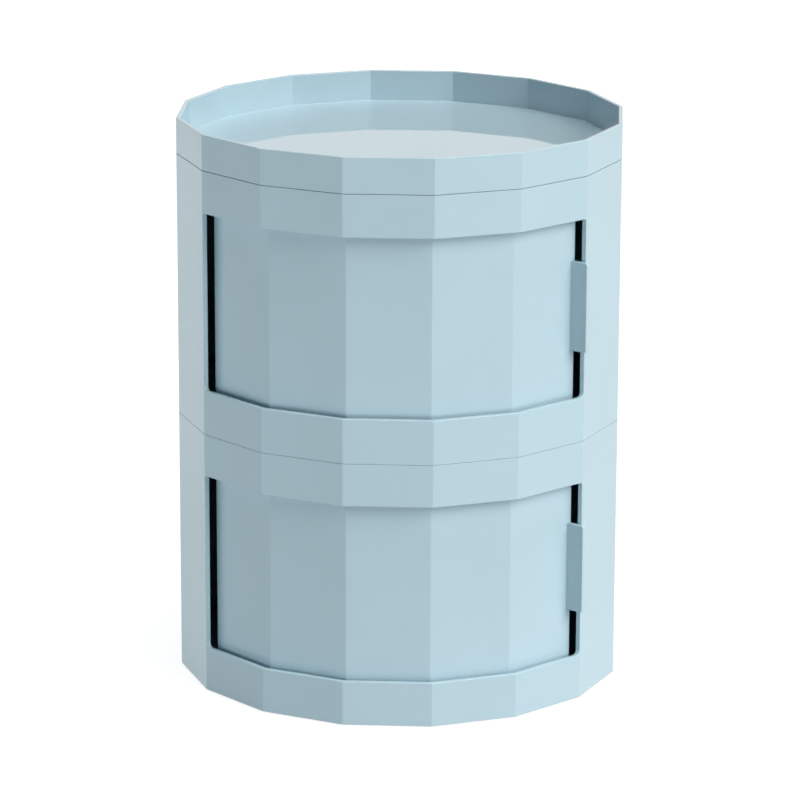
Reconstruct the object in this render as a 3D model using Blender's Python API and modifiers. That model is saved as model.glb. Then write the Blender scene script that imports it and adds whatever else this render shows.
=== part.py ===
"""Sixteen-sided side cabinet: two stacked storage modules with sliding doors, and a tray on top.

Metres, +Z up. The origin is on the ground on the cabinet's upright axis, and the doors face -Y.
Each door runs round that axis in circular tracks, and its fin handle stands out through the window.
"""

import math

import bmesh
import bpy
from mathutils import Matrix, Vector

MM = 0.001

# Body
SIDES = 16                      # flat faces round the cabinet, one of them square to the front
BODY_RADIUS = 160.0 * MM        # axis to an outer corner
WALL = 3.5 * MM                 # shell wall, square to a face
SILL = 31.8 * MM                # from a module's lower rim to its window
WINDOW_HEIGHT = 127.2 * MM
HEADER = 30.5 * MM              # from the window to the next module
WINDOW_FACES = 5                # faces that the window takes out
SILL_CORNER = 4.0 * MM          # radius of the window's lower corners
HEADER_CORNER = 2.0 * MM        # radius of the window's upper corners
JAMB_INSET = 0.3 * MM           # the jamb keeps this much of the corner between two faces
SEAM = 0.4 * MM                 # open line between two stacked pieces
GAP = 0.3 * MM                  # clearance between two pieces that seat on each other

# Tray
TRAY_HEIGHT = 25.3 * MM
TRAY_WALL = 3.0 * MM
TRAY_FLOOR = 2.7 * MM

# Floor pans
FLOOR_LEVEL = 18.0 * MM         # top of the floor above the module's lower rim
FLOOR_WALL = 2.6 * MM
SKIRT_WALL = 2.0 * MM
SKIRT_LIFT = 1.0 * MM           # the base pan's skirt stops this far above the lower rim
RIB_ARMS = 8
RIB_WALL = 2.0 * MM
RIB_DEPTH = 8.0 * MM
BEAD_LENGTH = 14.0 * MM         # snap beads on every second face of a skirt
BEAD_HEIGHT = 1.6 * MM
BEAD_PROUD = 0.5 * MM
BEAD_LEVEL = 7.0 * MM           # middle of the beads above the module's lower rim

# Tracks and guide rings
TRACK_DEPTH = 4.5 * MM
TRACK_WALL = 2.0 * MM
RING_SEAT = 9.0 * MM            # ring's seat below the module's top
RING_WALL = 2.6 * MM
RING_LEDGE = 3.0 * MM           # plate of the ring inside its track

# Doors
DOOR_CLEARANCE = 2.5 * MM       # from the door's corners to the shell's inner faces
DOOR_WALL = 2.8 * MM
FIN_WALL = 3.4 * MM
FIN_HEIGHT = 64.0 * MM
FIN_RISE = 33.0 * MM            # from the sill to the fin's lower edge
FIN_REACH = 4.0 * MM            # the fin's tip stands this far outside the shell's corners
FIN_CORNER = 2.0 * MM           # radius of the fin's two outer corners
STOP_GAP = 0.5 * MM             # between the fin and the jamb when the door is shut

# Glides under a door and guides on top of it
GLIDE_LENGTH = 16.0 * MM
GLIDE_WALL = 2.0 * MM
GLIDE_WEB = 2.0 * MM
GLIDE_GRIP = 6.0 * MM           # depth of the slot that takes the door's edge
TONGUE_WALL = 4.0 * MM
TRACK_PLAY = 0.35 * MM          # sideways play of a tongue in its track
SHOULDER_LIFT = 0.5 * MM        # from a glide's shoulder to the piece that holds the track
TONGUE_LIFT = 1.0 * MM          # from a guide's tongue to the bottom of the upper track

# Feet
FOOT_COUNT = 4
FOOT_PROUD = 1.0 * MM           # the lower rim's height above the ground
FOOT_RADIUS = 12.0 * MM
FOOT_PAD = 2.0 * MM
FOOT_INSET = 6.0 * MM           # from the foot's boss to the track
BOSS_RADIUS = 10.0 * MM
STEM_RADIUS = 4.0 * MM
STEM_HEIGHT = 6.0 * MM

# Fineness of round forms
TRACK_STEPS = 96
FOOT_STEPS = 32
CORNER_STEPS = 4
WELD = 0.01 * MM                # points nearer than this are one point

# Sizes that follow from those above
FACE_ANGLE = 2 * math.pi / SIDES
FACE_COS = math.cos(FACE_ANGLE / 2)
MODULE_HEIGHT = SILL + WINDOW_HEIGHT + HEADER
BODY_FACE = BODY_RADIUS * FACE_COS
INNER_FACE = BODY_FACE - WALL
REBATE_FACE = INNER_FACE + WALL / 2
SEATED_FACE = REBATE_FACE - GAP

DOOR_RADIUS = INNER_FACE - DOOR_CLEARANCE
DOOR_FACE = DOOR_RADIUS * FACE_COS
DOOR_HALF_ANGLE = WINDOW_FACES * FACE_ANGLE / 2
GLIDE_ANGLE = (WINDOW_FACES - 1) * FACE_ANGLE / 2
JAMB_ANGLE = DOOR_HALF_ANGLE - math.asin(JAMB_INSET / BODY_RADIUS)
FIN_ANGLE = JAMB_ANGLE - math.asin((FIN_WALL / 2 + STOP_GAP) / (INNER_FACE / FACE_COS))

TRACK_RADIUS = DOOR_FACE - DOOR_WALL / 2
GROOVE_OUTER = math.hypot(TRACK_RADIUS + TONGUE_WALL / 2, GLIDE_LENGTH / 2) + TRACK_PLAY
GROOVE_INNER = TRACK_RADIUS - TONGUE_WALL / 2 - TRACK_PLAY
CHANNEL_OUTER = GROOVE_OUTER + TRACK_WALL
CHANNEL_INNER = GROOVE_INNER - TRACK_WALL

FLOOR_UNDERSIDE = FLOOR_LEVEL - FLOOR_WALL
FLOOR_TRACK = FLOOR_LEVEL - TRACK_DEPTH
RING_UNDERSIDE = MODULE_HEIGHT - RING_SEAT + GAP
RING_TOP = RING_UNDERSIDE + RING_WALL
SPIGOT_DEPTH = MODULE_HEIGHT - RING_TOP - GAP
FOOT_CENTRE = CHANNEL_INNER - FOOT_INSET - BOSS_RADIUS
BOSS_END = FOOT_PAD + GAP - FOOT_PROUD

PART_NAME = "round_side_cabinet"
OVERRUN = 5.0 * MM              # cutters pass through what they cut by this much


def linear(hex_colour):
    """An sRGB hex colour as the linear values that a shader takes."""
    channels = [int(hex_colour[i:i + 2], 16) / 255 for i in (0, 2, 4)]
    return [c / 12.92 if c <= 0.04045 else ((c + 0.055) / 1.055) ** 2.4 for c in channels]


def plastic(name, hex_colour, roughness):
    """A plain moulded finish."""
    material = bpy.data.materials.new(name)
    material.use_nodes = True
    shader = material.node_tree.nodes["Principled BSDF"]
    shader.inputs["Base Color"].default_value = (*linear(hex_colour), 1.0)
    shader.inputs["Roughness"].default_value = roughness
    shader.inputs["Metallic"].default_value = 0.0
    material.diffuse_color = shader.inputs["Base Color"].default_value
    return material


def around(radius, angle):
    """The plan point at an angle from the front, positive towards +X."""
    return Vector((radius * math.sin(angle), -radius * math.cos(angle)))


def upright(angle):
    """Turns a drawing of radius across and height up into the upright plane at an angle from the front."""
    radial = around(1, angle)
    along = around(1, angle + math.pi / 2)
    return Matrix((
        (radial.x, 0, -along.x, 0),
        (radial.y, 0, -along.y, 0),
        (0, 1, 0, 0),
        (0, 0, 0, 1)))


def corner(face_distance):
    """The corner radius of the regular polygon whose faces lie at a distance from the axis."""
    return face_distance / FACE_COS


def new_object(name, mesh, parent):
    """A mesh object that is carried by its parent."""
    made = bpy.data.objects.new(name, mesh)
    made.parent = parent
    parts.objects.link(made)
    return made


def pivot(name, height, parent=None):
    """An empty on the cabinet's axis."""
    made = bpy.data.objects.new(name, None)
    made.location.z = height
    made.parent = parent
    parts.objects.link(made)
    return made


def turned(name, profile, steps, parent, closed=True):
    """A profile of (radius, height) points, run down its outer side, turned round the axis."""
    plane = around(1, FACE_ANGLE / 2)
    points = [(radius * plane.x, radius * plane.y, height) for radius, height in profile]
    edges = [(i, i + 1) for i in range(len(points) - 1)]
    if closed:
        edges.append((len(points) - 1, 0))
    mesh = bpy.data.meshes.new(name)
    mesh.from_pydata(points, edges, [])
    made = new_object(name, mesh, parent)
    screw = made.modifiers.new("turn", "SCREW")
    screw.axis = "Z"
    screw.angle = 2 * math.pi
    screw.steps = steps
    screw.render_steps = steps
    screw.use_merge_vertices = True
    screw.merge_threshold = WELD
    screw.use_smooth_shade = steps > SIDES
    return made


def faceted(name, profile, parent, closed=True):
    """A sixteen-sided piece, from a profile of (face distance, height) points."""
    return turned(name, [(corner(face), height) for face, height in profile], SIDES, parent, closed)


def extruded(name, outline, length, placing, parent):
    """A flat outline given a thickness, half of it to each side of the outline's plane."""
    curve = bpy.data.curves.new(name, "CURVE")
    curve.dimensions = "2D"
    curve.fill_mode = "BOTH"
    curve.extrude = length / 2
    spline = curve.splines.new("POLY")
    spline.points.add(len(outline) - 1)
    for point, (across, up) in zip(spline.points, outline):
        point.co = (across, up, 0, 1)
    spline.use_cyclic_u = True
    drawing = bpy.data.objects.new(name, curve)
    parts.objects.link(drawing)
    bpy.context.view_layer.update()
    mesh = bpy.data.meshes.new_from_object(drawing.evaluated_get(bpy.context.evaluated_depsgraph_get()))
    bpy.data.objects.remove(drawing)
    solid = bmesh.new()
    solid.from_mesh(mesh)
    bmesh.ops.remove_doubles(solid, verts=solid.verts, dist=WELD)
    flat = math.radians(0.5)
    bmesh.ops.dissolve_limit(solid, angle_limit=flat, verts=solid.verts, edges=solid.edges)
    bmesh.ops.transform(solid, matrix=placing, verts=solid.verts)
    bmesh.ops.recalc_face_normals(solid, faces=solid.faces)
    solid.to_mesh(mesh)
    solid.free()
    mesh.name = name
    return new_object(name, mesh, parent)


def gathered(name, solid, parent):
    """The solids in a bmesh as one object."""
    mesh = bpy.data.meshes.new(name)
    solid.to_mesh(mesh)
    solid.free()
    return new_object(name, mesh, parent)


def pillars(name, radius, low, high, parent):
    """Upright cylinders at the places of the feet."""
    solid = bmesh.new()
    for place in foot_places().values():
        bmesh.ops.create_cone(
            solid, cap_ends=True, segments=FOOT_STEPS, radius1=radius, radius2=radius, depth=high - low,
            matrix=Matrix.Translation((place.x, place.y, (low + high) / 2)))
    return gathered(name, solid, parent)


def combine(part, tool, operation):
    """Adds a tool to a part or cuts it out, and puts the tool away."""
    boolean = part.modifiers.new(tool.name, "BOOLEAN")
    boolean.operation = operation
    boolean.solver = "EXACT"
    boolean.object = tool
    parts.objects.unlink(tool)
    cutters.objects.link(tool)
    tool.hide_render = True
    tool.display_type = "WIRE"


def finish(part, material):
    """Gives a part its finish."""
    part.data.materials.append(material)
    return part


def foot_places():
    """Names and plan points of the feet, one in each corner of a square."""
    names = ("front_right", "back_right", "back_left", "front_left")
    step = 2 * math.pi / FOOT_COUNT
    return {name: around(FOOT_CENTRE, (i + 0.5) * step) for i, name in enumerate(names)}


def shell(label, parent):
    """The outer tube, half-lapped inside at both ends, with the window cut out of its front."""
    bead_low = BEAD_LEVEL - BEAD_HEIGHT / 2 - GAP
    bead_high = BEAD_LEVEL + BEAD_HEIGHT / 2 + GAP
    bead_face = REBATE_FACE + BEAD_PROUD
    top = MODULE_HEIGHT - SEAM
    tube = faceted(label + "_shell", [
        (BODY_FACE, top),
        (BODY_FACE, 0),
        (REBATE_FACE, 0),
        (REBATE_FACE, bead_low),
        (bead_face, bead_low),
        (bead_face, bead_high),
        (REBATE_FACE, bead_high),
        (REBATE_FACE, FLOOR_LEVEL + GAP),
        (INNER_FACE, FLOOR_LEVEL + GAP),
        (INNER_FACE, MODULE_HEIGHT - RING_SEAT),
        (REBATE_FACE, MODULE_HEIGHT - RING_SEAT),
        (REBATE_FACE, top)], parent)
    combine(tube, window(label, parent), "DIFFERENCE")
    return finish(tube, shell_plastic)


def window(label, parent):
    """The cutter of a window: a sector of the front with its four radial edges rounded."""
    turns = [JAMB_ANGLE * (2 * i / WINDOW_FACES - 1) for i in range(WINDOW_FACES + 1)]
    outside = [around(BODY_RADIUS + 4 * OVERRUN, angle) for angle in turns]
    inside = [around(DOOR_RADIUS - 2 * OVERRUN, angle) for angle in reversed(turns)]
    middle = SILL + WINDOW_HEIGHT / 2
    placing = Matrix.Translation((0, 0, middle))
    cutter = extruded(label + "_window", outside + inside, WINDOW_HEIGHT, placing, parent)
    solid = bmesh.new()
    solid.from_mesh(cutter.data)
    for upper, radius in ((True, HEADER_CORNER), (False, SILL_CORNER)):
        radial = [
            edge for edge in solid.edges
            if is_jamb_edge(edge) and (edge.verts[0].co.z > middle) == upper]
        bmesh.ops.bevel(solid, geom=radial, offset=radius, segments=CORNER_STEPS, profile=0.5, affect="EDGES")
    solid.to_mesh(cutter.data)
    solid.free()
    return cutter


def is_jamb_edge(edge):
    """True for a level edge that runs outwards along a jamb."""
    start, end = (vertex.co for vertex in edge.verts)
    level = abs(start.z - end.z) < GAP
    outwards = abs(start.xy.length - end.xy.length) > OVERRUN
    return level and outwards


def rib_star(name, reach, low, high, parent):
    """Stiffening ribs that run from the middle to a radius, as one star-shaped solid."""
    step = 2 * math.pi / RIB_ARMS
    half = RIB_WALL / 2
    outline = []
    for arm in range(RIB_ARMS):
        angle = (arm + 0.5) * step
        tip = around(reach, angle)
        side = around(half, angle + math.pi / 2)
        outline += [tip - side, tip + side, around(half / math.sin(step / 2), angle + step / 2)]
    placing = Matrix.Translation((0, 0, (low + high) / 2))
    return extruded(name, outline, high - low, placing, parent)


def snap_beads(name, parent):
    """Low beads on every second face of a skirt."""
    solid = bmesh.new()
    depth = BEAD_PROUD + SKIRT_WALL / 2
    centre = Matrix.Translation((SEATED_FACE + BEAD_PROUD - depth / 2, BEAD_LEVEL, 0))
    size = Matrix.Diagonal((depth, BEAD_HEIGHT, BEAD_LENGTH, 1))
    for face in range(0, SIDES, 2):
        bmesh.ops.create_cube(solid, size=1, matrix=upright(face * FACE_ANGLE) @ centre @ size)
    return gathered(name, solid, parent)


def floor_pan(label, skirt_end, parent):
    """A floor with a skirt, its round track sunk in a channel, and ribs underneath."""
    name = label + "_floor"
    pan = faceted(name, [
        (0, FLOOR_LEVEL),
        (SEATED_FACE, FLOOR_LEVEL),
        (SEATED_FACE, skirt_end),
        (SEATED_FACE - SKIRT_WALL, skirt_end),
        (SEATED_FACE - SKIRT_WALL, FLOOR_UNDERSIDE),
        (0, FLOOR_UNDERSIDE)], parent, closed=False)
    middle = FLOOR_LEVEL - FLOOR_WALL / 2
    channel_end = FLOOR_TRACK - FLOOR_WALL
    channel = turned(name + "_channel", [
        (CHANNEL_OUTER, middle),
        (CHANNEL_OUTER, channel_end),
        (CHANNEL_INNER, channel_end),
        (CHANNEL_INNER, middle)], TRACK_STEPS, parent)
    groove = turned(name + "_groove", [
        (GROOVE_OUTER, FLOOR_LEVEL + OVERRUN),
        (GROOVE_OUTER, FLOOR_TRACK),
        (GROOVE_INNER, FLOOR_TRACK),
        (GROOVE_INNER, FLOOR_LEVEL + OVERRUN)], TRACK_STEPS, parent)
    rib_reach = CHANNEL_INNER + TRACK_WALL / 2
    combine(pan, channel, "UNION")
    combine(pan, rib_star(name + "_ribs", rib_reach, FLOOR_UNDERSIDE - RIB_DEPTH, middle, parent), "UNION")
    combine(pan, snap_beads(name + "_beads", parent), "UNION")
    combine(pan, groove, "DIFFERENCE")
    return finish(pan, floor_plastic)


def foot_sockets(pan, parent):
    """Bosses under the base pan, each with a blind hole for a foot's stem."""
    middle = FLOOR_LEVEL - FLOOR_WALL / 2
    hole_end = BOSS_END + STEM_HEIGHT + GAP
    combine(pan, pillars("boss", BOSS_RADIUS, BOSS_END, middle, parent), "UNION")
    combine(pan, pillars("stem_hole", STEM_RADIUS + GAP, BOSS_END - OVERRUN, hole_end, parent), "DIFFERENCE")


def guide_ring(label, parent):
    """The ring in the top of a module, with the upper track in a channel that opens downwards."""
    name = label + "_guide_ring"
    hole_face = (CHANNEL_INNER - RING_LEDGE) * FACE_COS
    plate = faceted(name, [
        (SEATED_FACE, RING_TOP),
        (SEATED_FACE, RING_UNDERSIDE),
        (hole_face, RING_UNDERSIDE),
        (hole_face, RING_TOP)], parent)
    channel_end = RING_UNDERSIDE - TRACK_DEPTH
    channel_top = RING_UNDERSIDE + RING_WALL / 2
    groove_top = RING_UNDERSIDE + RING_WALL / 4
    channel = turned(name + "_channel", [
        (CHANNEL_OUTER, channel_top),
        (CHANNEL_OUTER, channel_end),
        (GROOVE_OUTER, channel_end),
        (GROOVE_OUTER, groove_top),
        (GROOVE_INNER, groove_top),
        (GROOVE_INNER, channel_end),
        (CHANNEL_INNER, channel_end),
        (CHANNEL_INNER, channel_top)], TRACK_STEPS, parent)
    combine(plate, channel, "UNION")
    return finish(plate, ring_plastic)


def glide_section(shoulder, tongue_end):
    """The outline of a glide across the track, and the end of its slot. A tongue may point down or up."""
    out = math.copysign(1, shoulder - tongue_end)
    slot_end = shoulder + out * GLIDE_WEB
    lip = slot_end + out * GLIDE_GRIP
    slot = DOOR_WALL / 2 + GAP
    body = slot + GLIDE_WALL
    tongue = TONGUE_WALL / 2
    half = [
        (tongue, tongue_end),
        (tongue, shoulder),
        (body, shoulder),
        (body, lip),
        (slot, lip),
        (slot, slot_end)]
    outline = half + [(-across, up) for across, up in reversed(half)]
    return [(TRACK_RADIUS + across, up) for across, up in outline], slot_end


def door(label, parent):
    """A sliding door: the faced panel with its fin, two glides under it and two guides on top."""
    low_section, low_slot = glide_section(FLOOR_LEVEL + SHOULDER_LIFT, FLOOR_TRACK + GAP)
    high_section, high_slot = glide_section(
        RING_UNDERSIDE - TRACK_DEPTH - SHOULDER_LIFT, RING_UNDERSIDE - TONGUE_LIFT)
    low, high = low_slot + GAP, high_slot - GAP
    turns = [DOOR_HALF_ANGLE * (2 * i / WINDOW_FACES - 1) for i in range(WINDOW_FACES + 1)]
    front = [around(DOOR_RADIUS, angle) for angle in turns]
    back = [around(DOOR_RADIUS - corner(DOOR_WALL), angle) for angle in reversed(turns)]
    placing = Matrix.Translation((0, 0, (low + high) / 2))
    panel = extruded(label + "_door", front + back, high - low, placing, parent)
    combine(panel, fin(label, parent), "UNION")
    finish(panel, door_plastic)
    for side, angle in (("left", -GLIDE_ANGLE), ("right", GLIDE_ANGLE)):
        glide = extruded(f"{label}_door_glide_{side}", low_section, GLIDE_LENGTH, upright(angle), parent)
        guide = extruded(f"{label}_door_guide_{side}", high_section, GLIDE_LENGTH, upright(angle), parent)
        finish(glide, glide_acetal)
        finish(guide, glide_acetal)


def fin(label, parent):
    """The handle: a radial fin, rounded at its two outer corners, rooted in the middle of the panel."""
    low = SILL + FIN_RISE
    high = low + FIN_HEIGHT
    root = TRACK_RADIUS / math.cos(FIN_ANGLE - GLIDE_ANGLE)
    tip = BODY_RADIUS + FIN_REACH
    outline = [(root, low)]
    for centre_height, start in ((low + FIN_CORNER, -math.pi / 2), (high - FIN_CORNER, 0)):
        for step in range(CORNER_STEPS + 1):
            angle = start + math.pi / 2 * step / CORNER_STEPS
            outline.append((
                tip - FIN_CORNER + FIN_CORNER * math.cos(angle),
                centre_height + FIN_CORNER * math.sin(angle)))
    outline.append((root, high))
    return extruded(label + "_fin", outline, FIN_WALL, upright(FIN_ANGLE), parent)


def tray(parent):
    """The open tray, with a spigot that locates it in the top of the upper module, and ribs underneath."""
    spigot_inner = SEATED_FACE - SKIRT_WALL
    inner = BODY_FACE - TRAY_WALL
    bowl = faceted("top_tray", [
        (0, TRAY_FLOOR),
        (inner, TRAY_FLOOR),
        (inner, TRAY_HEIGHT),
        (BODY_FACE, TRAY_HEIGHT),
        (BODY_FACE, 0),
        (SEATED_FACE, 0),
        (SEATED_FACE, -SPIGOT_DEPTH),
        (spigot_inner, -SPIGOT_DEPTH),
        (spigot_inner, 0),
        (0, 0)], parent, closed=False)
    reach = spigot_inner + SKIRT_WALL / 2
    combine(bowl, rib_star("top_tray_ribs", reach, -SPIGOT_DEPTH, TRAY_FLOOR / 2, parent), "UNION")
    return finish(bowl, tray_plastic)


def feet():
    """Rubber feet, each a pad with a stem that plugs into the base pan."""
    stem_end = FOOT_PAD + GAP + STEM_HEIGHT
    for name, place in foot_places().items():
        seat = pivot("foot_seat_" + name, 0)
        seat.location.xy = place
        foot = turned("foot_" + name, [
            (0, stem_end),
            (STEM_RADIUS, stem_end),
            (STEM_RADIUS, FOOT_PAD),
            (FOOT_RADIUS, FOOT_PAD),
            (FOOT_RADIUS, 0),
            (0, 0)], FOOT_STEPS, seat, closed=False)
        finish(foot, foot_rubber)


def module(label, base, skirt_end):
    """One storage module standing at a height. Its door hangs on a pivot on the axis."""
    frame = pivot(label + "_module", base)
    shell(label, frame)
    pan = floor_pan(label, skirt_end, frame)
    guide_ring(label, frame)
    door(label, pivot(label + "_door_pivot", 0, frame))
    return frame, pan


for leftover in list(bpy.data.objects):
    bpy.data.objects.remove(leftover)

parts = bpy.data.collections.new(PART_NAME)
cutters = bpy.data.collections.new(PART_NAME + "_cutters")
bpy.context.scene.collection.children.link(parts)
bpy.context.scene.collection.children.link(cutters)

shell_plastic = plastic("shell_abs", "C2DAE4", 0.28)
door_plastic = plastic("door_abs", "C2DAE4", 0.25)
tray_plastic = plastic("tray_abs", "C4DCE6", 0.18)
floor_plastic = plastic("floor_abs", "BCD5DF", 0.35)
ring_plastic = plastic("guide_ring_abs", "BCD5DF", 0.35)
glide_acetal = plastic("glide_acetal", "EEEEEA", 0.4)
foot_rubber = plastic("foot_rubber", "4A4E52", 0.8)

lower_frame, lower_pan = module("lower", FOOT_PROUD, SKIRT_LIFT)
foot_sockets(lower_pan, lower_frame)
module("upper", FOOT_PROUD + MODULE_HEIGHT, -SPIGOT_DEPTH)
tray(pivot("tray_seat", FOOT_PROUD + 2 * MODULE_HEIGHT))
feet()

travel = math.degrees(2 * FIN_ANGLE)
print(f"door travel {travel:.2f} degrees, module height {MODULE_HEIGHT / MM:.1f} mm")
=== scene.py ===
# %% [markdown]
# # A sixteen-sided side cabinet
# The cabinet is two stacked storage modules with a tray on top, all moulded in pale blue ABS. Each
# module has a window, and behind it a door that slides round the body. This lesson dresses the
# solid model of that cabinet: the big mouldings get softly rounded edges, and every piece gets the
# finish of its real material.
# The solid model is loaded first. It fixes where everything is, so no piece below has to be fitted
# by eye.

import math

import bmesh
import bpy
from mathutils import Matrix, Vector


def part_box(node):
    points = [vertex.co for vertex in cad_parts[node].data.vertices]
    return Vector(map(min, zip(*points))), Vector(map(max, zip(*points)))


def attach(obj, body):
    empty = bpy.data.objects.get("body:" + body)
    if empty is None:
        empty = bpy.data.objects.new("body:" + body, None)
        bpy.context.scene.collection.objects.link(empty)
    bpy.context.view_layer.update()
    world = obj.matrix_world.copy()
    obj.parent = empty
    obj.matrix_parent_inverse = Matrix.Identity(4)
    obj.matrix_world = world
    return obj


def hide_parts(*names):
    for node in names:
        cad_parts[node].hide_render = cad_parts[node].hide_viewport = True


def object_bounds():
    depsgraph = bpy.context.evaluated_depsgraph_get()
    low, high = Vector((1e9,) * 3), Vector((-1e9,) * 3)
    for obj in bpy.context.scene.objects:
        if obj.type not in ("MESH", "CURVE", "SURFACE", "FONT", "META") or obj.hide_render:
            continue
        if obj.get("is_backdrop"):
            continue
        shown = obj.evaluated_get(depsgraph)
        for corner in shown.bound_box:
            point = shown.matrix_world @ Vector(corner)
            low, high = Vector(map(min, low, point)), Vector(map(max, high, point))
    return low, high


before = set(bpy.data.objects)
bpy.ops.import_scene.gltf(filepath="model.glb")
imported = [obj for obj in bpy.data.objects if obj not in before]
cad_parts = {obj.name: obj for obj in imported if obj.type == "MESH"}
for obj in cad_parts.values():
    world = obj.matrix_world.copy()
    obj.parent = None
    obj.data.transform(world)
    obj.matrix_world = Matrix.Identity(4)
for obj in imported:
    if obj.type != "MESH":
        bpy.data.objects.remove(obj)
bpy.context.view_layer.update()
MM = 0.001

# %% [markdown]
# ## Colours and nodes
# Colours are written as the hex values that a picture shows, and one function turns them into the
# linear values that a shader works with. All node trees below, of materials and of geometry, are
# made with one small helper: it adds a node, sets it up and links what feeds it.

# %% Helpers for colours and nodes
def linear(hex_colour):
    """An sRGB hex colour as linear red, green, blue and an alpha of one."""
    channels = [int(hex_colour[i:i + 2], 16) / 255 for i in (0, 2, 4)]
    return (*[c / 12.92 if c <= 0.04045 else ((c + 0.055) / 1.055) ** 2.4 for c in channels], 1.0)


def add(tree, kind, settings=None, feeds=None):
    """Adds a node. Feeds are sockets to link or values to set, by the name or number of the input."""
    node = tree.nodes.new(kind)
    for name, value in (settings or {}).items():
        setattr(node, name, value)
    for place, value in (feeds or {}).items():
        if isinstance(value, bpy.types.NodeSocket):
            tree.links.new(value, node.inputs[place])
        else:
            node.inputs[place].default_value = value
    return node


print("the middle grey of a picture is this much light:", round(linear("808080")[0], 3))

# %% [markdown]
# ## Moulded ABS
# The body is injection-moulded ABS. The mould is polished, so the plastic has a clear but slightly
# soft gloss, and its colour is through the whole wall. Two things keep it from looking like a flat
# fill: the melt leaves very faint clouds of lighter and darker colour, some centimetres wide, and
# the polish of a big mould is not quite even, so the gloss changes a little over the same kind of
# distance. The skin also has a very fine orange peel, which is drawn here about five times as
# coarse as it is, because the true one is finer than a pixel.

# %% The ABS finishes
CLOUD_SIZE = 70 * MM
CLOUD_SPAN = (0.35, 0.65)
SHEEN_SIZE = CLOUD_SIZE / 2
SHEEN_SPAN = (0.3, 0.7)
PEEL_SIZE = 2.5 * MM
PEEL_DEPTH = 0.02 * MM
ABS_IOR = 1.53
BODY_BLUE = ("BDD7E1", "BFD9E3")
INSIDE_BLUE = ("B7D1DB", "BAD4DE")


def clouded(name, colours, cloud_size, detail, span):
    """A new material and its colour: a darker and a lighter one that change in clouds."""
    material = bpy.data.materials.new(name)
    material.use_nodes = True
    tree = material.node_tree
    tree.nodes.clear()
    place = add(tree, "ShaderNodeTexCoord").outputs["Object"]
    clouds = add(tree, "ShaderNodeTexNoise", None, {
        "Vector": place, "Scale": 1 / cloud_size, "Detail": detail})
    ramp = add(tree, "ShaderNodeValToRGB", None, {"Fac": clouds.outputs["Fac"]})
    for element, position, colour in zip(ramp.color_ramp.elements, span, colours):
        element.position = position
        element.color = linear(colour)
    return material, ramp.outputs["Color"]


def moulded_abs(name, colours, polish, peel):
    """ABS from a mould: clouds of colour, a roughness between two values, and a fine peel."""
    material, colour = clouded(name, colours, CLOUD_SIZE, 2.0, CLOUD_SPAN)
    tree = material.node_tree
    place = add(tree, "ShaderNodeTexCoord").outputs["Object"]
    sheen = add(tree, "ShaderNodeTexNoise", None, {
        "Vector": place, "Scale": 1 / SHEEN_SIZE, "Detail": 1.0})
    gloss = add(tree, "ShaderNodeMapRange", None, {
        "Value": sheen.outputs["Fac"], "From Min": SHEEN_SPAN[0], "From Max": SHEEN_SPAN[1],
        "To Min": polish[0], "To Max": polish[1]})
    grain = add(tree, "ShaderNodeTexNoise", None, {
        "Vector": place, "Scale": 1 / PEEL_SIZE, "Detail": 1.0})
    bump = add(tree, "ShaderNodeBump", None, {
        "Height": grain.outputs["Fac"], "Strength": peel, "Distance": PEEL_DEPTH})
    shader = add(tree, "ShaderNodeBsdfPrincipled", None, {
        "Base Color": colour, "Roughness": gloss.outputs["Result"],
        "Normal": bump.outputs["Normal"], "IOR": ABS_IOR, "Metallic": 0.0})
    add(tree, "ShaderNodeOutputMaterial", None, {"Surface": shader.outputs["BSDF"]})
    return material


body_abs = moulded_abs("moulded_abs_body", BODY_BLUE, (0.16, 0.22), 0.15)
tray_abs = moulded_abs("moulded_abs_polished_tray", BODY_BLUE, (0.02, 0.035), 0.02)
inner_abs = moulded_abs("moulded_abs_satin_inside", INSIDE_BLUE, (0.34, 0.42), 0.3)
print("finishes:", body_abs.name, tray_abs.name, inner_abs.name)

# %% [markdown]
# ## Acetal and rubber
# The glides and guides that clip over the doors' edges are acetal, a slippery white plastic that is
# left in its natural colour and looks a little waxy. The feet are moulded rubber: dark, matt, with
# a dusty bloom in patches.

# %% The acetal and rubber finishes
SMALL_CLOUD_SPAN = (0.4, 0.6)


def plain_moulding(name, colours, cloud_size, roughness, ior):
    """A small moulding with one even gloss and two close colours in clouds."""
    material, colour = clouded(name, colours, cloud_size, 3.0, SMALL_CLOUD_SPAN)
    tree = material.node_tree
    shader = add(tree, "ShaderNodeBsdfPrincipled", None, {
        "Base Color": colour, "Roughness": roughness, "IOR": ior})
    add(tree, "ShaderNodeOutputMaterial", None, {"Surface": shader.outputs["BSDF"]})
    return material


acetal = plain_moulding("moulded_acetal", ("EAEAE4", "EFEFEA"), 6 * MM, 0.38, 1.48)
rubber = plain_moulding("moulded_rubber", ("45494D", "505458"), 4 * MM, 0.75, 1.52)
print("finishes:", acetal.name, rubber.name)

# %% [markdown]
# ## A flat pattern and a rule that wraps it
# Shells, doors and tray are all the same kind of form: a sheet with a thickness, folded round a
# sixteen-sided body with softly rounded folds. They could be cut and bevelled as solids, but a
# bevel runs into trouble where a window corner meets a fold. So each is first drawn flat, as a
# sheet-metal worker would: X is the length along the outside, Y is the depth under the surface and
# Z is the height. A geometry node tree then wraps the drawing round the body.
# The rule: the length says which face a point is on and how far from the face's middle. Near a fold
# the rest of the length becomes an angle on the fold's arc.

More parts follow.
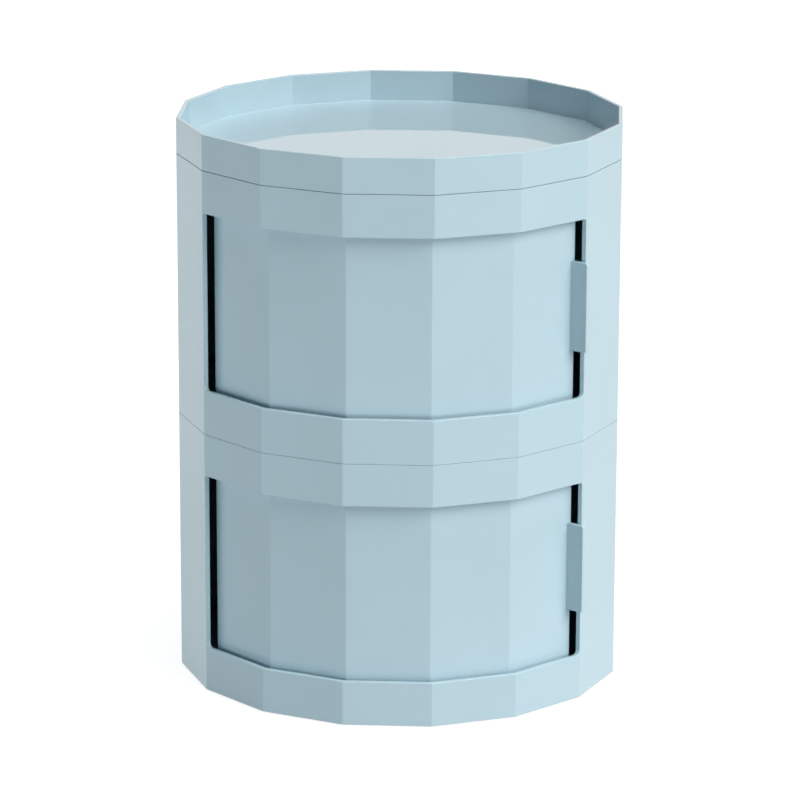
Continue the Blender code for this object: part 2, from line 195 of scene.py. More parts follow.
# %% The rule of wrapping
RULE = (
    ("half", "DIVIDE", math.pi, "Sides"),
    ("slope", "TANGENT", "half"),
    ("reach", "MULTIPLY", "Face distance", "slope"),
    ("width", "MULTIPLY", "reach", 2.0),
    ("count", "DIVIDE", "along", "width"),
    ("face", "ROUND", "count"),
    ("middle", "MULTIPLY", "face", "width"),
    ("offset", "SUBTRACT", "along", "middle"),
    ("ease", "MULTIPLY", "Fold radius", "slope"),
    ("flat", "SUBTRACT", "reach", "ease"),
    ("flat_left", "MULTIPLY", "flat", -1.0),
    ("not_left", "MAXIMUM", "offset", "flat_left"),
    ("on_flat", "MINIMUM", "not_left", "flat"),
    ("past_flat", "SUBTRACT", "offset", "on_flat"),
    ("fold_share", "DIVIDE", "past_flat", "ease"),
    ("lean", "MULTIPLY", "fold_share", "half"),
    ("near", "SUBTRACT", "Face distance", "depth"),
    ("shrunk", "SUBTRACT", "Fold radius", "depth"),
    ("arc", "MAXIMUM", "shrunk", "Inner radius"),
    ("near_reach", "MULTIPLY", "near", "slope"),
    ("near_ease", "MULTIPLY", "arc", "slope"),
    ("near_flat", "SUBTRACT", "near_reach", "near_ease"),
    ("flat_share", "DIVIDE", "on_flat", "flat"),
    ("flat_part", "MULTIPLY", "flat_share", "near_flat"),
    ("lean_sine", "SINE", "lean"),
    ("lean_cosine", "COSINE", "lean"),
    ("arc_part", "MULTIPLY", "arc", "lean_sine"),
    ("across", "ADD", "flat_part", "arc_part"),
    ("arc_height", "MULTIPLY", "arc", "lean_cosine"),
    ("arc_centre", "SUBTRACT", "near", "arc"),
    ("out", "ADD", "arc_centre", "arc_height"),
    ("face_angle", "MULTIPLY", "half", 2.0),
    ("turn", "MULTIPLY", "face", "face_angle"),
    ("turn_sine", "SINE", "turn"),
    ("turn_cosine", "COSINE", "turn"),
    ("x_out", "MULTIPLY", "out", "turn_sine"),
    ("x_across", "MULTIPLY", "across", "turn_cosine"),
    ("x", "ADD", "x_out", "x_across"),
    ("y_across", "MULTIPLY", "across", "turn_sine"),
    ("y_out", "MULTIPLY", "out", "turn_cosine"),
    ("y", "SUBTRACT", "y_across", "y_out"))
print("the rule has", len(RULE), "steps")

# %% The wrapping tree
WELD = 0.005 * MM
WRAP_INPUTS = {
    "Sides": "Int", "Face distance": "Float", "Fold radius": "Float", "Inner radius": "Float"}


def new_tree(name, inputs):
    """An empty geometry tree and its entry. Inputs are names with kinds, apart from the usual two."""
    tree = bpy.data.node_groups.new(name, "GeometryNodeTree")
    tree.interface.new_socket("Geometry", in_out="OUTPUT", socket_type="NodeSocketGeometry")
    for socket, kind in {"Geometry": "Geometry", **inputs, "Material": "Material"}.items():
        tree.interface.new_socket(socket, in_out="INPUT", socket_type=f"NodeSocket{kind}")
    return tree, add(tree, "NodeGroupInput")


def end_tree(tree, entry, geometry):
    """The end of a geometry tree: instances become real, and the material is set."""
    real = add(tree, "GeometryNodeRealizeInstances", None, {"Geometry": geometry})
    painted = add(tree, "GeometryNodeSetMaterial", None, {
        "Geometry": real.outputs[0], "Material": entry.outputs["Material"]})
    add(tree, "NodeGroupOutput", None, {"Geometry": painted.outputs[0]})


def wrapping_tree():
    """Geometry nodes that wrap a flat drawing round a prism whose first face looks along -Y."""
    tree, entry = new_tree("wrap_round_prism", WRAP_INPUTS)
    position = add(tree, "GeometryNodeInputPosition")
    drawn = add(tree, "ShaderNodeSeparateXYZ", None, {0: position.outputs[0]})
    known = {name: entry.outputs[name] for name in WRAP_INPUTS}
    known.update(along=drawn.outputs[0], depth=drawn.outputs[1], height=drawn.outputs[2])
    for name, operation, *terms in RULE:
        feeds = {i: known.get(term, term) for i, term in enumerate(terms)}
        known[name] = add(tree, "ShaderNodeMath", {"operation": operation}, feeds).outputs[0]
    place = add(tree, "ShaderNodeCombineXYZ", None, {
        0: known["x"], 1: known["y"], 2: known["height"]})
    moved = add(tree, "GeometryNodeSetPosition", None, {
        "Geometry": entry.outputs["Geometry"], "Position": place.outputs[0]})
    welded = add(tree, "GeometryNodeMergeByDistance", None, {
        "Geometry": moved.outputs[0], "Distance": WELD})
    end_tree(tree, entry, welded.outputs[0])
    return tree


wrap = wrapping_tree()
print("wrapping tree:", len(wrap.nodes), "nodes")

# %% [markdown]
# ## Faces and folds
# How far the faces lie from the axis is read from the solid model. A fold's radius is chosen so
# that its arc is as wide as the rounding of an edge: then the rounding of a window's jamb, which
# stands exactly on a fold, runs into it without a step.

# %% Faces and folds
SIDES = 16
HALF_FACE = math.pi / SIDES
FACE_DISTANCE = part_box("upper_shell")[1].x
EDGE = 0.6 * MM
FOLD_RADIUS = EDGE / math.tan(HALF_FACE)
INNER_RADIUS = 0.8 * MM
ROUND_STEPS = 4


def face_width(face_distance):
    """Width of one face of the prism, from fold to fold."""
    return 2 * face_distance * math.tan(HALF_FACE)


def fold_lengths(face_distance, first_fold, last_fold):
    """Lengths along the outside at which folds need points: the ends of each arc and between."""
    width = face_width(face_distance)
    spread = [EDGE * (2 * i / ROUND_STEPS - 1) for i in range(ROUND_STEPS + 1)]
    folds = range(first_fold, last_fold + 1)
    return [(fold + 0.5) * width + part for fold in folds for part in spread]


print(f"face width {face_width(FACE_DISTANCE) / MM:.2f} mm, fold radius {FOLD_RADIUS / MM:.2f} mm")

# %% [markdown]
# ## Drawing tools
# A few small tools draw the flat patterns. One gives the points of an arc. One rounds the corners
# of a section line. One fills a lattice of points with faces. One gives the points of a rounded
# rectangle with the direction that leads out of it, which is the path of a rounded edge: a window's
# edge leads into the sheet, a door's edge leads out of it. The last one draws that edge.

# %% Drawing tools
QUARTER = math.pi / 2


def arc(centre, radius, first, turn, steps=ROUND_STEPS):
    """Points of an arc, each with the direction that leads away from its centre."""
    for step in range(steps + 1):
        angle = first + turn * step / steps
        way = Vector((math.cos(angle), math.sin(angle)))
        yield Vector(centre) + way * radius, way


def eased(points):
    """A section line of (depth, height, radius) points, with an arc of that radius at each inner one."""
    line = [Vector(points[0][:2])]
    for before, here, after in zip(points, points[1:], points[2:]):
        corner = Vector(here[:2])
        towards_before = (Vector(before[:2]) - corner).normalized()
        towards_after = (Vector(after[:2]) - corner).normalized()
        radius = here[2]
        start = corner + towards_before * radius
        centre = start + towards_after * radius
        for step in range(ROUND_STEPS + 1):
            angle = QUARTER * step / ROUND_STEPS
            from_start = centre - towards_after * radius * math.cos(angle)
            line.append(from_start - towards_before * radius * math.sin(angle))
    line.append(Vector(points[-1][:2]))
    return [(p.x, p.y) for p in line]


def lattice(solid, rows):
    """Fills rows of points with four-sided faces."""
    made = [[solid.verts.new(point) for point in row] for row in rows]
    for low, high in zip(made, made[1:]):
        for i in range(len(low) - 1):
            solid.faces.new((low[i], low[i + 1], high[i + 1], high[i]))


def rectangle_path(half_length, low, high, radii, between):
    """Points of a rounded rectangle, each with the direction that leads out of it, as two runs.

    The first run is the bottom from right to left with its two corners, the second is the top from
    left to right. The radii are that of the lower corners and that of the upper ones.
    """
    down, up = Vector((0, -1)), Vector((0, 1))
    low_radius, high_radius = radii
    right = half_length - low_radius
    bottom = list(arc((right, low + low_radius), low_radius, 0, -QUARTER))
    bottom += [(Vector((along, low)), down) for along in reversed(between) if abs(along) < right]
    bottom += arc((-right, low + low_radius), low_radius, -QUARTER, -QUARTER)
    right = half_length - high_radius
    top = list(arc((-right, high - high_radius), high_radius, math.pi, -QUARTER))
    top += [(Vector((along, high)), up) for along in between if abs(along) < right]
    top += arc((right, high - high_radius), high_radius, QUARTER, -QUARTER)
    return bottom, top


def edge_rows(path, thickness, lead):
    """For each point of a path, the points of a rounded edge from the sheet's outside to its inside.

    Lead is 1 where the sheet lies outside the path, as round a window, and -1 where it lies inside,
    as on a door.
    """
    angles = [QUARTER * step / ROUND_STEPS for step in range(ROUND_STEPS + 1)]
    section = [(EDGE * (1 - math.sin(a)), EDGE * (1 - math.cos(a))) for a in angles]
    section += [(away, thickness - depth) for away, depth in reversed(section)]
    rows = []
    for point, way in path:
        spots = [(point + way * lead * away, depth) for away, depth in section]
        rows.append([(spot.x, depth, spot.y) for spot, depth in spots])
    return rows


print("a rounded corner has", ROUND_STEPS + 1, "points")

# %% [markdown]
# ## From a drawing to a finished piece
# A drawing becomes a piece in two steps. A geometry tree shapes it, and its result is kept as a
# plain mesh. Then the piece is closed and shaded. The large faces have to look flat although their
# edges are rounded, so the normals are weighted by the size of the faces, and only true creases
# stay sharp.

# %% Finishing tools
CREASE = math.radians(40)
FLAT_WEIGHT = 100


def plain(piece):
    """Replaces a piece's mesh by what its modifiers make of it, and removes them."""
    depsgraph = bpy.context.evaluated_depsgraph_get()
    mesh = bpy.data.meshes.new_from_object(piece.evaluated_get(depsgraph))
    piece.modifiers.clear()
    piece.data = mesh
    return piece


def grown(piece, step, tree, values):
    """Runs a geometry tree on a piece with values for its named inputs, and keeps the plain mesh."""
    modifier = piece.modifiers.new(step, "NODES")
    modifier.node_group = tree
    for socket in tree.interface.items_tree:
        if socket.in_out == "INPUT" and socket.name in values:
            modifier[socket.identifier] = values[socket.name]
    return plain(piece)


def placed(name, drawing):
    """A new object in the scene that holds a drawing."""
    mesh = bpy.data.meshes.new(name)
    drawing.to_mesh(mesh)
    drawing.free()
    piece = bpy.data.objects.new(name, mesh)
    bpy.context.scene.collection.objects.link(piece)
    return piece


def wrapped(name, drawing, face_distance, material):
    """A piece from a flat drawing, wrapped round a prism whose faces lie at a distance."""
    return grown(placed(name, drawing), "wrap", wrap, {
        "Sides": SIDES, "Face distance": face_distance, "Fold radius": FOLD_RADIUS,
        "Inner radius": INNER_RADIUS, "Material": material})


def finished(piece):
    """Turns the faces outwards, and shades so that only the roundings shade off."""
    solid = bmesh.new()
    solid.from_mesh(piece.data)
    bmesh.ops.remove_doubles(solid, verts=solid.verts, dist=WELD)
    bmesh.ops.recalc_face_normals(solid, faces=solid.faces)
    open_edges = sum(1 for edge in solid.edges if len(edge.link_faces) != 2)
    solid.to_mesh(piece.data)
    solid.free()
    piece.data.shade_smooth()
    piece.data.set_sharp_from_angle(angle=CREASE)
    weighted = piece.modifiers.new("weighted", "WEIGHTED_NORMAL")
    weighted.weight = FLAT_WEIGHT
    weighted.keep_sharp = True
    plain(piece)
    print(f"{piece.name}: {len(piece.data.polygons)} faces, {open_edges} open edges")
    return piece


print("creases sharper than", round(math.degrees(CREASE)), "degrees stay sharp")

# %% [markdown]
# ## The two shells
# Each shell is a tube of sixteen faces with a window five faces wide. Both rims are half-lapped
# inside: the floor sits in the lower lap and the guide ring in the upper one. A groove in the lower
# lap takes the beads with which the floor snaps in. The wall, these seats and the window are
# written here as millimetres, the same as in the solid model.
# The drawing is a long strip with a rounded hole. The strip is filled in bands: one round the
# window's edge, one along each rim, and plain faces between them, outside and inside.
# The line between the modules shows thinner than the one under the tray, because the upper module's
# weight settles it. So the lower shell's rim is drawn a little higher than the solid's.

# %% Sizes of a shell
WALL = 3.5 * MM
LAP = WALL / 2
FLOOR_SEAT = 18.3 * MM
RING_SEAT = 180.5 * MM
BEAD_GROOVE = (5.9 * MM, 8.1 * MM, 0.5 * MM)
SILL = 31.8 * MM
WINDOW_HEIGHT = 127.2 * MM
WINDOW_TOP = SILL + WINDOW_HEIGHT
SILL_CORNER = 4 * MM
HEADER_CORNER = 2 * MM
WINDOW_FACES = 5
# Folds are counted from the right edge of the middle face.
WINDOW_FOLDS = (-(WINDOW_FACES // 2), WINDOW_FACES // 2 - 1)
BACK_FOLDS = (WINDOW_FACES // 2 + 1, SIDES - WINDOW_FACES // 2 - 2)
RIM_EDGE = 0.2 * MM
LAP_ROUND = 0.3 * MM
SEAT_ROUND = 0.2 * MM
GROOVE_ROUND = 0.1 * MM
RIM_BAND = 2 * MM
SETTLED = 0.2 * MM
print(f"the window is {WINDOW_HEIGHT / MM:.1f} mm high over a sill of {SILL / MM:.1f} mm")

# %% Shells
def rim_sections(height):
    """The section lines of the lower and the upper rim, from the outside to the inside."""
    groove_low, groove_high, groove_depth = BEAD_GROOVE
    groove = LAP - groove_depth
    low_section = eased([
        (0, RIM_BAND, 0), (0, 0, RIM_EDGE), (LAP, 0, LAP_ROUND), (LAP, groove_low, GROOVE_ROUND),
        (groove, groove_low, GROOVE_ROUND), (groove, groove_high, GROOVE_ROUND),
        (LAP, groove_high, GROOVE_ROUND), (LAP, FLOOR_SEAT, SEAT_ROUND),
        (WALL, FLOOR_SEAT, LAP_ROUND), (WALL, FLOOR_SEAT + RIM_BAND, 0)])
    high_section = eased([
        (0, height - RIM_BAND, 0), (0, height, RIM_EDGE), (LAP, height, LAP_ROUND),
        (LAP, RING_SEAT, SEAT_ROUND), (WALL, RING_SEAT, LAP_ROUND),
        (WALL, RING_SEAT - RIM_BAND, 0)])
    return low_section, high_section


def shell_piece(name, base, height):
    """A shell drawn flat and wrapped round the body."""
    width = face_width(FACE_DISTANCE)
    jamb = WINDOW_FACES * width / 2
    between = fold_lengths(FACE_DISTANCE, *WINDOW_FOLDS)
    bottom, top = rectangle_path(
        jamb, SILL, WINDOW_TOP, (SILL_CORNER, HEADER_CORNER), between)
    loop = edge_rows(bottom + top, WALL, 1)
    bottom_rows, top_rows = loop[:len(bottom)], loop[len(bottom):]
    back = fold_lengths(FACE_DISTANCE, *BACK_FOLDS)
    back = [jamb + EDGE, *back, SIDES * width - jamb - EDGE]
    low_section, high_section = rim_sections(height)
    solid = bmesh.new()
    lattice(solid, [*loop, loop[0]])
    front_low = [row[0][0] for row in bottom_rows]
    front_high = [row[0][0] for row in top_rows]
    outside = (0, 0, RIM_BAND, height - RIM_BAND)
    inside = (-1, WALL, FLOOR_SEAT + RIM_BAND, RING_SEAT - RIM_BAND)
    for side, depth, low, high in (outside, inside):
        for front, rows, end in ((front_low, bottom_rows, low), (front_high, top_rows, high)):
            lattice(solid, [[(along, depth, end) for along in front], [row[side] for row in rows]])
        levels = (low, SILL + SILL_CORNER, WINDOW_TOP - HEADER_CORNER, high)
        lattice(solid, [[(along, depth, level) for along in back] for level in levels])
    for front, section in ((front_low[::-1], low_section), (front_high, high_section)):
        lattice(solid, [[(along, depth, level) for along in front + back] for depth, level in section])
    bmesh.ops.translate(solid, vec=(0, 0, base), verts=solid.verts)
    return finished(wrapped(name, solid, FACE_DISTANCE, body_abs))


for tier, rise in (("lower", SETTLED), ("upper", 0)):
    low_corner, high_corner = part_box(f"{tier}_shell")
    shell = shell_piece(f"{tier}_shell_moulding", low_corner.z, high_corner.z - low_corner.z + rise)
    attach(shell, "cabinet")
    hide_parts(f"{tier}_shell")

# %% [markdown]
# ## The doors
# A door is a sheet five faces wide, wrapped round a smaller prism than the shell, with a fin at its
# right edge as a handle. The fin is a flat plate that stands along a radius. It is drawn as a
# rounded outline, given the same rounded edges, and joined to the panel by a union, because on the
# real door both come out of one mould.

# %% The fin
DOOR_WALL = 2.8 * MM
DOOR_CLEARANCE = 2.5 * MM
DOOR_FACE = (FACE_DISTANCE - WALL - DOOR_CLEARANCE) * math.cos(HALF_FACE)
FIN_WALL = 3.4 * MM
FIN_HEIGHT = 64 * MM
FIN_RISE = 33 * MM
FIN_REACH = 4 * MM
FIN_TIP = FACE_DISTANCE / math.cos(HALF_FACE) + FIN_REACH
FIN_CORNER = 2 * MM
FIN_STEPS = 2 * ROUND_STEPS
FIN_EDGE_ANGLE = math.radians(55.335)


def fin_solid(base):
    """The fin as a rounded plate in the upright plane of its radius."""
    root = DOOR_FACE - DOOR_WALL / 2
    low = base + SILL + FIN_RISE
    high = low + FIN_HEIGHT
    path = []
    for height, first in ((low + FIN_CORNER, -QUARTER), (high - FIN_CORNER, 0)):
        path += arc((FIN_TIP - FIN_CORNER, height), FIN_CORNER, first, QUARTER, FIN_STEPS)
    for height, first in ((high, QUARTER), (low, math.pi)):
        path += arc((root, height), 0, first, QUARTER, 1)
    rows = edge_rows(path, FIN_WALL, -1)
    plate = bmesh.new()
    lattice(plate, [*rows, rows[0]])
    for side in (0, -1):
        plate.faces.new([plate.verts.new(row[side]) for row in rows])
    radial = Vector((math.sin(FIN_EDGE_ANGLE), -math.cos(FIN_EDGE_ANGLE), 0))
    across = Vector((math.cos(FIN_EDGE_ANGLE), math.sin(FIN_EDGE_ANGLE), 0))
    for vertex in plate.verts:
        along, depth, height = vertex.co
        vertex.co = radial * along + across * (FIN_WALL / 2 - depth) + Vector((0, 0, height))
    bmesh.ops.remove_doubles(plate, verts=plate.verts, dist=WELD)
    bmesh.ops.recalc_face_normals(plate, faces=plate.faces)
    return plate


print(f"the fin stands {(FIN_TIP - DOOR_FACE) / MM:.1f} mm out of the door's faces")

# %% Doors
DOOR_CORNER = 1.5 * MM


def door_piece(name, base, low, high):
    """A door panel drawn flat, wrapped, and joined to its fin."""
    half_length = WINDOW_FACES * face_width(DOOR_FACE) / 2
    between = fold_lengths(DOOR_FACE, *WINDOW_FOLDS)
    bottom, top = rectangle_path(half_length, low, high, (DOOR_CORNER, DOOR_CORNER), between)
    loop = edge_rows(bottom + top, DOOR_WALL, -1)
    bottom_rows, top_rows = loop[:len(bottom)], loop[len(bottom):]
    solid = bmesh.new()
    lattice(solid, [*loop, loop[0]])
    for side in (0, -1):
        lattice(solid, [[row[side] for row in bottom_rows], [row[side] for row in reversed(top_rows)]])
    panel = wrapped(name, solid, DOOR_FACE, body_abs)
    handle = placed("fin", fin_solid(base))
    handle.data.materials.append(body_abs)
    union = panel.modifiers.new("fin", "BOOLEAN")
    union.operation = "UNION"
    union.solver = "EXACT"
    union.object = handle
    plain(panel)
    bpy.data.objects.remove(handle)
    return finished(panel)


for tier in ("lower", "upper"):
    low_corner, high_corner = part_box(f"{tier}_door")
    shell_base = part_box(f"{tier}_shell")[0].z
    door = door_piece(f"{tier}_door_moulding", shell_base, low_corner.z, high_corner.z)
    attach(door, f"{tier}_door")
    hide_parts(f"{tier}_door")

# %% [markdown]
# ## The tray
# The tray is one wrapped section too: up the inside of its wall, over the rim, down the outside and
# round the spigot that locates it in the upper shell. The two open ends of that wrapped band are
# then closed by flat faces, which are the tray's floor and its underside. A large flat moulding
# would sag and twist, so ribs run under the floor, out to the spigot. They repeat round the axis,
# which is work for geometry nodes: one bar is placed on a few points, each copy turned further, and
# a union makes them one body with the tray. Things are set down in the tray and slid about, so its
# inside has a finer polish than its outside, which matches the shells.

# %% The tree of the ribs
def rib_tree():
    """Geometry nodes that add bars through the axis to a piece, evenly turned, as arms of a star."""
    tree, entry = new_tree("ribs_through_the_axis", {
        "Bars": "Int", "Size": "Vector", "Middle": "Vector"})
    count = entry.outputs["Bars"]
    bar = add(tree, "GeometryNodeMeshCube", None, {"Size": entry.outputs["Size"]})
    lowered = add(tree, "GeometryNodeTransform", None, {
        "Geometry": bar.outputs["Mesh"], "Translation": entry.outputs["Middle"]})
    points = add(tree, "GeometryNodePoints", None, {"Count": count})
    step = add(tree, "ShaderNodeMath", {"operation": "DIVIDE"}, {0: math.pi, 1: count})
    index = add(tree, "GeometryNodeInputIndex")
    number = add(tree, "ShaderNodeMath", {"operation": "ADD"}, {0: index.outputs[0], 1: 0.5})
    angle = add(tree, "ShaderNodeMath", {"operation": "MULTIPLY"}, {
        0: number.outputs[0], 1: step.outputs[0]})
    turn = add(tree, "FunctionNodeAxisAngleToRotation", None, {
        "Axis": (0, 0, 1), "Angle": angle.outputs[0]})
    bars = add(tree, "GeometryNodeInstanceOnPoints", None, {
        "Points": points.outputs[0], "Instance": lowered.outputs[0], "Rotation": turn.outputs[0]})
    joined = add(tree, "GeometryNodeMeshBoolean", {"operation": "UNION", "solver": "EXACT"}, {
        "Mesh 2": entry.outputs["Geometry"]})
    tree.links.new(bars.outputs[0], joined.inputs["Mesh 2"])
    end_tree(tree, entry, joined.outputs["Mesh"])
    return tree


ribs = rib_tree()
print("rib tree:", len(ribs.nodes), "nodes")

# %% Tray
TRAY_WALL = 3 * MM
TRAY_FLOOR = 2.7 * MM
TRAY_SEAM = 0.4 * MM
FLOOR_FILLET = 0.4 * MM
FLOOR_START = 6 * MM
SPIGOT_CLEARANCE = 0.3 * MM
SPIGOT_WALL = 2 * MM
SPIGOT_OUTER = LAP + SPIGOT_CLEARANCE
SPIGOT_INNER = SPIGOT_OUTER + SPIGOT_WALL
RIB_BARS = 4
RIB_WALL = 2 * MM
RIB_OVERLAP = 1 * MM
LOOKS_OUT = 0.5


def tray_piece(name, spigot_end, seat, rim):
    """The tray, wrapped from its section and closed by its floor."""
    floor_top = seat + TRAY_FLOOR
    section = eased([
        (FLOOR_START, floor_top, 0), (TRAY_WALL, floor_top, FLOOR_FILLET), (TRAY_WALL, rim, EDGE),
        (0, rim, EDGE), (0, seat, RIM_EDGE), (SPIGOT_OUTER, seat, LAP_ROUND),
        (SPIGOT_OUTER, spigot_end, LAP_ROUND), (SPIGOT_INNER, spigot_end, LAP_ROUND),
        (SPIGOT_INNER, seat, LAP_ROUND), (FLOOR_START, seat, 0)])
    lengths = fold_lengths(FACE_DISTANCE, 0, SIDES - 1)
    lengths.append(lengths[0] + SIDES * face_width(FACE_DISTANCE))
    solid = bmesh.new()
    lattice(solid, [[(along, depth, level) for along in lengths] for depth, level in section])
    tray = wrapped(name, solid, FACE_DISTANCE, tray_abs)
    band = bmesh.new()
    band.from_mesh(tray.data)
    open_ends = [edge for edge in band.edges if edge.is_boundary]
    bmesh.ops.holes_fill(band, edges=open_ends, sides=0)
    band.to_mesh(tray.data)
    band.free()
    reach = FACE_DISTANCE - SPIGOT_INNER + RIB_OVERLAP
    low, high = spigot_end, seat + TRAY_FLOOR / 2
    tray = grown(tray, "ribs", ribs, {
        "Bars": RIB_BARS, "Size": (2 * reach, RIB_WALL, high - low),
        "Middle": (0, 0, (low + high) / 2), "Material": tray_abs})
    tray.data.materials.append(body_abs)
    for face in tray.data.polygons:
        outwards = face.normal.xy.dot(face.center.xy.normalized())
        face.material_index = 1 if outwards > LOOKS_OUT else 0
    return finished(tray)


tray_low, tray_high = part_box("top_tray")
tray_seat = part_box("upper_shell")[1].z + TRAY_SEAM
tray = tray_piece("top_tray_moulding", tray_low.z, tray_seat, tray_high.z)
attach(tray, "tray")
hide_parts("top_tray")

# %% [markdown]
# ## Pieces that keep their solids
# Floors, guide rings, glides, guides and feet are small or hidden, and their solids already have
# the right shape. They only get their finish.

# %% Finishes of the solids
FINISHES = {
    "floor": inner_abs, "guide_ring": inner_abs, "glide": acetal, "guide": acetal, "foot": rubber}


def finish_of(node):
    """The finish of a solid, by the kind of piece that its name gives."""
    for kind, material in FINISHES.items():
        if node.startswith(kind) or f"_{kind}" in node:
            return material
    return None


for node, solid_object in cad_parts.items():
    finish = finish_of(node)
    if finish and not solid_object.hide_render:
        for slot in solid_object.material_slots:
            slot.material = finish
        print(node, "is", finish.name)

# %% [markdown]
# ## Stage
# The cabinet stands on paper in a white studio. Paper and surroundings are white to the camera and
# in reflections, but give other rays only a little light: bright paper would shine up under the
# windows' edges and wash out the shadows that they throw on the doors. The paper keeps the
# cabinet's soft shadow, because only a part of its white is its own glow. The rest is light from
# the lamps.

# %% Paper
FLOOR_SIZE = 30.0
PAPER_COLOUR = linear("A0A0A0")
PAPER_LIFT = 0.85


def seen_directly(tree):
    """One for rays from the camera, in reflections and through clear things, nothing for others."""
    path = add(tree, "ShaderNodeLightPath")
    seen = add(tree, "ShaderNodeMath", {"operation": "MAXIMUM"}, {
        0: path.outputs["Is Camera Ray"], 1: path.outputs["Is Glossy Ray"]})
    return add(tree, "ShaderNodeMath", {"operation": "MAXIMUM"}, {
        0: seen.outputs[0], 1: path.outputs["Is Transmission Ray"]}).outputs[0]


floor_mesh = bpy.data.meshes.new("studio_floor")
corners = [(x * FLOOR_SIZE, y * FLOOR_SIZE, 0) for x, y in ((-1, -1), (1, -1), (1, 1), (-1, 1))]
floor_mesh.from_pydata(corners, [], [(0, 1, 2, 3)])
floor = bpy.data.objects.new("studio_floor", floor_mesh)
bpy.context.scene.collection.objects.link(floor)
floor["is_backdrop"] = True
paper = bpy.data.materials.new("white_studio_paper")
paper.use_nodes = True
paper_tree = paper.node_tree
paper_tree.nodes.clear()
paper_face = add(paper_tree, "ShaderNodeBsdfDiffuse", None, {"Color": PAPER_COLOUR})
lift = add(paper_tree, "ShaderNodeMath", {"operation": "MULTIPLY"}, {
    0: seen_directly(paper_tree), 1: PAPER_LIFT})
paper_glow = add(paper_tree, "ShaderNodeEmission", None, {"Strength": lift.outputs[0]})
paper_both = add(paper_tree, "ShaderNodeAddShader", None, {
    0: paper_face.outputs[0], 1: paper_glow.outputs[0]})
add(paper_tree, "ShaderNodeOutputMaterial", None, {"Surface": paper_both.outputs[0]})
floor_mesh.materials.append(paper)
print("stage:", floor.name, "of", paper.name)

# %% Surroundings
FILL_COLOUR = linear("EEF6FF")
FILL_STRENGTH = 0.045
world = bpy.data.worlds.new("white_studio")
bpy.context.scene.world = world
world.use_nodes = True
sky = world.node_tree
sky.nodes.clear()
white = add(sky, "ShaderNodeBackground", None, {"Color": linear("FFFFFF"), "Strength": 1.0})
fill = add(sky, "ShaderNodeBackground", None, {"Color": FILL_COLOUR, "Strength": FILL_STRENGTH})
sky_mix = add(sky, "ShaderNodeMixShader", None, {
    0: seen_directly(sky), 1: fill.outputs[0], 2: white.outputs[0]})
add(sky, "ShaderNodeOutputWorld", None, {"Surface": sky_mix.outputs[0]})
print("surroundings:", world.name)

# %% [markdown]
# ## Lamps
# The key is a wide soft light from the front right, so the faces step from a darker left to a
# bright right. In the photo the shadow that the window's upper edge throws on the door is about as
# long as the door lies deep, so the key stands low. Both modules are equally bright there, so it
# stands far off: it is a sun lamp with a wide angle. A weak lamp above gives the level faces what
# the low key doesn't.
# The faces at the far left are lighter than the next ones, so a white card stands at the left. It
# ends below the tray's height, because the inside of the tray is dark where it faces left. A card
# at the front right lifts the faces in the middle, and one behind lights the back. Neither the
# camera nor a reflection shows the cards.

# %% Suns
SUN_AWAY = 5.0
# Each sun has a name, azimuth, elevation, energy, angle of its disc and colour.
SUNS = (
    ("soft_key_from_the_right", 58.5, 33, 2.24, 40, "FFFDFB"),
    ("weak_lamp_above", 60, 86, 1.15, 20, "FFFFFF"))


def towards_lamp(azimuth, elevation):
    """Direction from the cabinet to a lamp: azimuth from the front, positive to the right."""
    a, e = math.radians(azimuth), math.radians(elevation)
    return Vector((math.sin(a) * math.cos(e), -math.cos(a) * math.cos(e), math.sin(e)))


def lamp(name, kind, way, place, settings):
    """A lamp that shines against a direction, from a place."""
    data = bpy.data.lights.new(name, kind)
    for key, value in settings.items():
        setattr(data, key, value)
    source = bpy.data.objects.new(name, data)
    facing = way.to_track_quat("Z", "Y").to_matrix().to_4x4()
    source.matrix_world = Matrix.Translation(place) @ facing
    bpy.context.scene.collection.objects.link(source)
    return source


for name, azimuth, elevation, energy, disc, colour in SUNS:
    sun_way = towards_lamp(azimuth, elevation)
    lamp(name, "SUN", sun_way, sun_way * SUN_AWAY, {
        "energy": energy, "angle": math.radians(disc), "color": linear(colour)[:3]})
    print(f"{name}: {elevation} degrees high")

# %% Cards
CARD_AWAY = 1.5
CARD_HEIGHT = 0.32
CARD_FOOT = 5 * MM
CARD_COLOUR = linear("EEFAFF")[:3]
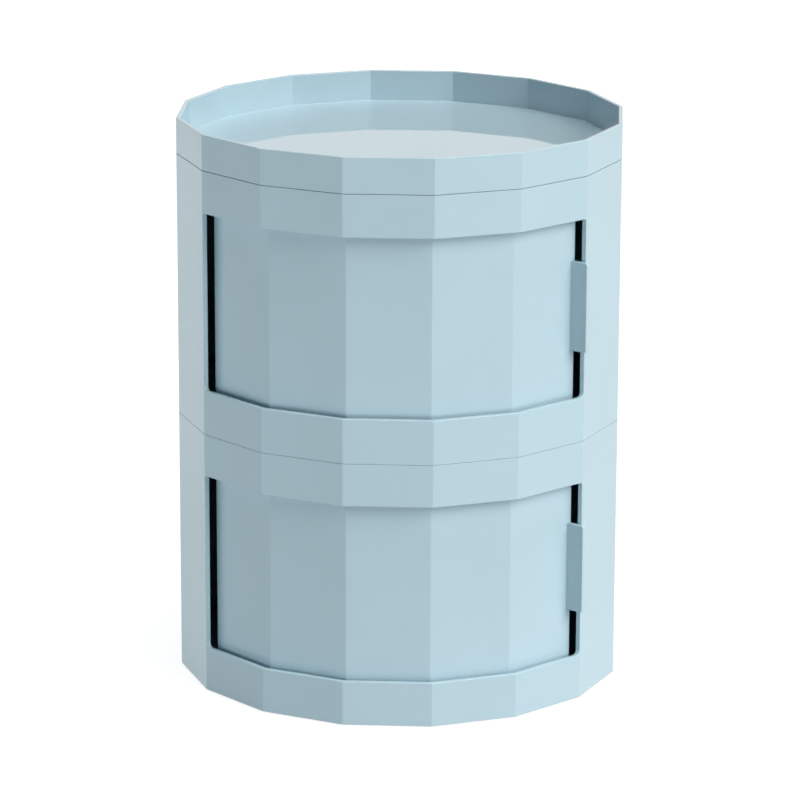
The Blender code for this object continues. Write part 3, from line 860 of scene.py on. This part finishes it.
# Each card has an azimuth, a width and a power.
CARDS = ((-70, 1.0, 6.7), (35, 1.0, 5.0), (180, 2.2, 8.0))
for azimuth, width, power in CARDS:
    card_way = towards_lamp(azimuth, 0)
    card_place = card_way * CARD_AWAY + Vector((0, 0, CARD_HEIGHT / 2 + CARD_FOOT))
    card = lamp(f"card_at_{azimuth}", "AREA", card_way, card_place, {
        "shape": "RECTANGLE", "size": width, "size_y": CARD_HEIGHT, "energy": power,
        "color": CARD_COLOUR})
    card.visible_camera = False
    card.visible_glossy = False
    print(f"{card.name}: {width} m wide")
bpy.context.scene.view_settings.view_transform = "Standard"

# %% [markdown]
# ## The camera
# The camera stands a little to the right of the front, three metres away, and looks down at the
# cabinet through a long lens. Its place was worked out from where the corners of the cabinet appear
# in the photo.

# %% Camera
CAMERA_AZIMUTH = math.radians(2.99)
CAMERA_DISTANCE = 2.8802
CAMERA_HEIGHT = 0.9845
CAMERA_PITCH = math.radians(15.356)
CAMERA_ROLL = math.radians(0.205)
CAMERA_LENS = 186.23
SENSOR_WIDTH = 36.0
camera_data = bpy.data.cameras.new("photo_camera")
camera_data.lens = CAMERA_LENS
camera_data.sensor_width = SENSOR_WIDTH
camera = bpy.data.objects.new("photo_camera", camera_data)
bpy.context.scene.collection.objects.link(camera)
eye = Vector((
    CAMERA_DISTANCE * math.sin(CAMERA_AZIMUTH),
    -CAMERA_DISTANCE * math.cos(CAMERA_AZIMUTH),
    CAMERA_HEIGHT))
heading = Matrix.Rotation(CAMERA_AZIMUTH, 4, "Z")
tilt = Matrix.Rotation(math.pi / 2 - CAMERA_PITCH, 4, "X")
roll = Matrix.Rotation(CAMERA_ROLL, 4, "Z")
camera.matrix_world = Matrix.Translation(eye) @ heading @ tilt @ roll
bpy.context.scene.camera = camera
print("camera at", [round(value, 3) for value in eye])

# %% [markdown]
# ## Size of the dressed cabinet
# The box of the dressed cabinet is printed, in millimetres.

# %% The size of the dressed cabinet, and the end
dressed_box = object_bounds()
dressed_size = [round(value / MM, 1) for value in dressed_box[1] - dressed_box[0]]
print("box of the dressed cabinet in mm:", dressed_size)
